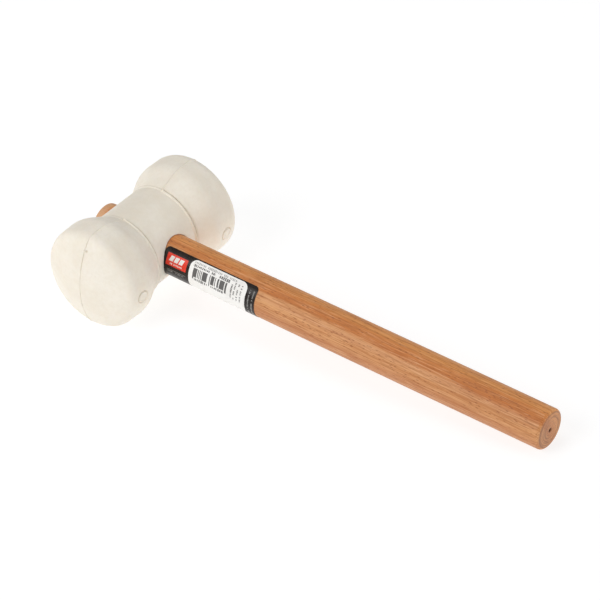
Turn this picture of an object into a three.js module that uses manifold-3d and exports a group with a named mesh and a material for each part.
// Rubber mallet, lying on a flat surface: a double-faced white rubber head moulded in one
// piece, a round hardwood handle driven through its eye and spread there by a wedge, and a
// printed label with a barcode sticker on top of it.
//
// Millimetres, +Z up. Each piece is built in the mallet's own frame: the handle lies along X
// with its butt at +X, the head lies along Y, and the two axes cross at the origin. The
// whole mallet is then tipped about Y until both faces and the butt touch the surface.

import * as THREE from 'three';
import { mergeVertices } from 'three/addons/utils/BufferGeometryUtils.js';
import Module from 'manifold-3d';

const wasm = await Module();
wasm.setup();

const FIT_GAP = 0.3; // left between two pieces that touch

// Head
const HEAD_LENGTH = 123.8; // over both domed faces
const WAIST_RADIUS = 27.75;
const WAIST_HALF_LENGTH = 18.65; // from the handle's axis to the ridge at the foot of a bell
const SHOULDER_RADIUS = 35; // where the flare would meet the bell's wall
const SHOULDER_FROM_MIDDLE = 33.9;
const SHOULDER_BLEND = 4.4; // how far each way the shoulder's rounding runs
const RIM_RADIUS = 34.5; // where the bell's wall would meet the domed face
const RIM_FROM_MIDDLE = 51.1;
const RIM_BLEND = 4.5;
const RIDGE_HEIGHT = 0.5; // thin moulding ridge round each end of the waist
const RIDGE_WIDTH = 1.2;
const HEAD_SIDES = 60;
const CURVE_STEPS = 5;

// Handle
const STUB_FROM_HEAD_AXIS = 32; // the handle's head end, a little proud of the waist
const HANDLE_FROM_HEAD_AXIS = 308.5; // the handle's butt
const EYE_RADIUS = 13.05; // the handle's radius where the head holds it
const BUTT_RADIUS = 13.15;
const HANDLE_SWELL = 0.15; // added to the radius halfway along
const BUTT_ROUNDING = 2.4;
const STUB_ROUNDING = 1.2;
const CENTRE_MARK_RADIUS = 1.3; // the lathe's centre mark in the butt
const CENTRE_MARK_DEPTH = 4;
const HANDLE_SIDES = 48;
const HANDLE_STEPS = 10;

// Kerf sawn into the head end, and the wedge driven into it
const KERF_DEPTH = 30;
const KERF_MOUTH = 4.6;
const KERF_FOOT = 1.8;
const WEDGE_DEPTH = 26;

// Label and sticker on the handle: from and to run along the handle from the head's axis;
// top and bottom are angles round it, from straight up towards the front.
const SHEET_THICKNESS = 0.3;
const LABEL = { from: 28.2, to: 99, top: 28, bottom: 150, corner: 3 };
const STICKER = { from: 47.2, to: 91.6, top: 31.5, bottom: 130, corner: 4.5 };
const SHEET_ROW_DEGREES = 7.5;
const SHEET_MIDDLE_COLUMNS = 4;
const CORNER_STEPS = 4;

const finishes = {
  whiteRubber: { color: 0xe4dccd, roughness: 0.62, metalness: 0 },
  handleWood: { color: 0xc4824c, roughness: 0.55, metalness: 0 },
  wedgeWood: { color: 0xb5875a, roughness: 0.7, metalness: 0 },
  labelFilm: { color: 0x1c1b1b, roughness: 0.25, metalness: 0 },
  stickerPaper: { color: 0xf3f1ed, roughness: 0.5, metalness: 0 },
};

function piece(name, geometry, finish) {
  const mesh = new THREE.Mesh(geometry, new THREE.MeshStandardMaterial(finish));
  mesh.name = name;
  return mesh;
}

/** A closed geometry as a solid that can be cut: corners shared, slivers at the poles left out. */
function toSolid(geometry) {
  const bare = geometry.clone();
  bare.deleteAttribute('normal');
  bare.deleteAttribute('uv');
  const merged = mergeVertices(bare);
  const corners = merged.index.array;
  const triVerts = [];
  for (let i = 0; i < corners.length; i += 3) {
    const [a, b, c] = corners.slice(i, i + 3);
    if (a !== b && b !== c && c !== a) triVerts.push(a, b, c);
  }
  const vertProperties = new Float32Array(merged.attributes.position.array);
  const mesh = new wasm.Mesh({ numProp: 3, vertProperties, triVerts: new Uint32Array(triVerts) });
  return new wasm.Manifold(mesh);
}

function toGeometry(solid) {
  const mesh = solid.getMesh();
  const geometry = new THREE.BufferGeometry();
  geometry.setAttribute('position', new THREE.BufferAttribute(mesh.vertProperties, 3));
  geometry.setIndex(new THREE.BufferAttribute(mesh.triVerts, 1));
  geometry.computeVertexNormals();
  return geometry;
}

/** The point `distance` from `corner` on the way to `other`. */
function pointTowards(corner, other, distance) {
  return corner.clone().lerp(other, distance / corner.distanceTo(other));
}

/** Half of the head's outline, from the middle of the waist to the middle of a face: x is the
 *  radius and y is along the head. */
function halfHeadOutline() {
  const domeHeight = HEAD_LENGTH / 2 - RIM_FROM_MIDDLE;
  const domeRadius = (RIM_RADIUS ** 2 + domeHeight ** 2) / (2 * domeHeight);
  const domeCentre = HEAD_LENGTH / 2 - domeRadius;
  const domeStart = Math.PI / 2 - Math.asin(RIM_RADIUS / domeRadius) + RIM_BLEND / domeRadius;

  const flareFoot = new THREE.Vector2(WAIST_RADIUS, WAIST_HALF_LENGTH + RIDGE_WIDTH / 2);
  const shoulder = new THREE.Vector2(SHOULDER_RADIUS, SHOULDER_FROM_MIDDLE);
  const rim = new THREE.Vector2(RIM_RADIUS, RIM_FROM_MIDDLE);
  const flareTop = pointTowards(shoulder, flareFoot, SHOULDER_BLEND);
  const wallFoot = pointTowards(shoulder, rim, SHOULDER_BLEND);
  const wallTop = pointTowards(rim, shoulder, RIM_BLEND);

  const outline = new THREE.Path();
  outline.moveTo(WAIST_RADIUS, 0);
  outline.lineTo(WAIST_RADIUS, WAIST_HALF_LENGTH - RIDGE_WIDTH / 2);
  outline.lineTo(WAIST_RADIUS + RIDGE_HEIGHT, WAIST_HALF_LENGTH);
  outline.lineTo(flareFoot.x, flareFoot.y);
  outline.lineTo(flareTop.x, flareTop.y);
  outline.quadraticCurveTo(shoulder.x, shoulder.y, wallFoot.x, wallFoot.y);
  outline.lineTo(wallTop.x, wallTop.y);
  outline.quadraticCurveTo(
    rim.x,
    rim.y,
    domeRadius * Math.cos(domeStart),
    domeCentre + domeRadius * Math.sin(domeStart),
  );
  outline.absarc(0, domeCentre, domeRadius, domeStart, Math.PI / 2, false);
  const points = outline.getPoints(CURVE_STEPS);
  points[points.length - 1].x = 0;
  return points;
}

/** The head, with a row of facet corners turned by `tip` so that it meets the surface. */
function rubberHead(tip) {
  const half = halfHeadOutline();
  const mirrored = half.slice(1).reverse().map((p) => new THREE.Vector2(p.x, -p.y));
  const moulding = new THREE.LatheGeometry([...mirrored, ...half], HEAD_SIDES);
  moulding.rotateY(-tip);
  const eyeLength = SHOULDER_RADIUS * 3;
  const eye = new THREE.CylinderGeometry(
    EYE_RADIUS + FIT_GAP,
    EYE_RADIUS + FIT_GAP,
    eyeLength,
    HANDLE_SIDES,
  );
  eye.rotateZ(-Math.PI / 2);
  return toGeometry(toSolid(moulding).subtract(toSolid(eye)));
}

/** The handle's radius at a distance x from the head's axis. */
function handleRadius(x) {
  const along = THREE.MathUtils.clamp((x - WAIST_RADIUS) / (HANDLE_FROM_HEAD_AXIS - WAIST_RADIUS), 0, 1);
  return THREE.MathUtils.lerp(EYE_RADIUS, BUTT_RADIUS, along) + HANDLE_SWELL * Math.sin(Math.PI * along);
}

/** The turned handle before its kerf is sawn, with the lathe's centre mark in its butt. */
function turnedHandle() {
  const stubEnd = -STUB_FROM_HEAD_AXIS;
  const buttEnd = HANDLE_FROM_HEAD_AXIS;
  const buttFaceRadius = BUTT_RADIUS - BUTT_ROUNDING;
  const outline = [
    new THREE.Vector2(0, stubEnd),
    new THREE.Vector2(EYE_RADIUS - STUB_ROUNDING, stubEnd),
    new THREE.Vector2(EYE_RADIUS, stubEnd + STUB_ROUNDING),
  ];
  for (let step = 0; step <= HANDLE_STEPS; step += 1) {
    const x = THREE.MathUtils.lerp(WAIST_RADIUS, buttEnd - BUTT_ROUNDING, step / HANDLE_STEPS);
    outline.push(new THREE.Vector2(handleRadius(x), x));
  }
  const rounding = new THREE.Path();
  rounding.absarc(buttFaceRadius, buttEnd - BUTT_ROUNDING, BUTT_ROUNDING, 0, Math.PI / 2, false);
  outline.push(...rounding.getPoints(CURVE_STEPS).slice(1));
  outline.push(new THREE.Vector2(CENTRE_MARK_RADIUS, buttEnd));
  outline.push(new THREE.Vector2(0, buttEnd - CENTRE_MARK_DEPTH));
  const turned = new THREE.LatheGeometry(outline, HANDLE_SIDES);
  turned.rotateZ(-Math.PI / 2);
  return toSolid(turned);
}

/** A tapered slab in the plane of the handle and the head, open at the handle's head end. */
function taperedSlab(depth, mouth, foot, overshoot) {
  const end = -STUB_FROM_HEAD_AXIS;
  const growth = ((mouth - foot) / depth) * overshoot;
  const side = new THREE.Shape();
  side.moveTo(end - overshoot, -(mouth + growth) / 2);
  side.lineTo(end + depth, -foot / 2);
  side.lineTo(end + depth, foot / 2);
  side.lineTo(end - overshoot, (mouth + growth) / 2);
  side.closePath();
  const width = EYE_RADIUS * 3;
  const slab = new THREE.ExtrudeGeometry(side, { depth: width, bevelEnabled: false });
  slab.translate(0, 0, -width / 2);
  slab.rotateX(Math.PI / 2);
  return toSolid(slab);
}

function woodHandle() {
  const kerf = taperedSlab(KERF_DEPTH, KERF_MOUTH, KERF_FOOT, 1);
  return toGeometry(turnedHandle().subtract(kerf));
}

/** The wedge fills the kerf but for its foot, and is dressed flush with the handle. */
function eyeWedge() {
  const taper = (KERF_MOUTH - KERF_FOOT) / KERF_DEPTH;
  const mouth = KERF_MOUTH - 2 * FIT_GAP;
  const wedge = taperedSlab(WEDGE_DEPTH, mouth, mouth - taper * WEDGE_DEPTH, 0);
  return toGeometry(wedge.intersect(turnedHandle()));
}

/** Distances from one end of a sheet and the half width there, so that its corners are round. */
function sheetColumns(length, halfWidth, corner) {
  const start = [];
  for (let step = 0; step <= CORNER_STEPS; step += 1) {
    const turn = (step / CORNER_STEPS) * (Math.PI / 2);
    start.push({
      at: corner * (1 - Math.cos(turn)),
      halfWidth: halfWidth - corner * (1 - Math.sin(turn)),
    });
  }
  const middle = [];
  for (let step = 1; step < SHEET_MIDDLE_COLUMNS; step += 1) {
    const at = THREE.MathUtils.lerp(corner, length - corner, step / SHEET_MIDDLE_COLUMNS);
    middle.push({ at, halfWidth });
  }
  const end = [...start].reverse().map((column) => ({ ...column, at: length - column.at }));
  return [...start, ...middle, ...end];
}

/** A thin sheet wrapped on the handle, lifted off it by `lift`. */
function wrappedSheet({ from, to, top, bottom, corner }, lift) {
  const length = to - from;
  const middleAngle = THREE.MathUtils.degToRad((top + bottom) / 2);
  const paperRadius = handleRadius(from) + lift;
  const width = THREE.MathUtils.degToRad(bottom - top) * paperRadius;
  const columns = sheetColumns(length, width / 2, corner);
  const columnCount = columns.length - 1;
  const rowCount = Math.ceil((bottom - top) / SHEET_ROW_DEGREES);
  const sheet = new THREE.BoxGeometry(length, width, SHEET_THICKNESS, columnCount, rowCount, 1);
  const position = sheet.attributes.position;
  for (let i = 0; i < position.count; i += 1) {
    const index = Math.round((position.getX(i) / length + 0.5) * columnCount);
    const column = columns[index];
    const across = (position.getY(i) / (width / 2)) * column.halfWidth;
    const angle = middleAngle - across / paperRadius;
    const x = from + column.at;
    const radius = handleRadius(x) + lift + SHEET_THICKNESS / 2 + position.getZ(i);
    position.setXYZ(i, x, -radius * Math.sin(angle), radius * Math.cos(angle));
  }
  sheet.computeVertexNormals();
  return sheet;
}

/** How far the mallet tips about Y before its butt meets the surface that the head lies on. */
function tipAngle() {
  const reach = HANDLE_FROM_HEAD_AXIS - BUTT_ROUNDING;
  const span = Math.hypot(reach, BUTT_RADIUS);
  const headRadius = Math.max(...halfHeadOutline().map((point) => point.x));
  return Math.asin(headRadius / span) - Math.atan2(BUTT_RADIUS, reach);
}

const tip = tipAngle();
const mallet = new THREE.Group();
mallet.add(
  piece('rubber_head', rubberHead(tip), finishes.whiteRubber),
  piece('wood_handle', woodHandle(), finishes.handleWood),
  piece('eye_wedge', eyeWedge(), finishes.wedgeWood),
  piece('printed_label', wrappedSheet(LABEL, FIT_GAP), finishes.labelFilm),
  piece(
    'barcode_sticker',
    wrappedSheet(STICKER, FIT_GAP + SHEET_THICKNESS + FIT_GAP),
    finishes.stickerPaper,
  ),
);

// The origin goes onto the surface, under the middle of the mallet's box.
mallet.rotation.y = tip;
const box = new THREE.Box3().setFromObject(mallet, true);
const middle = box.getCenter(new THREE.Vector3());
mallet.position.set(-middle.x, -middle.y, -box.min.z);

export default mallet;
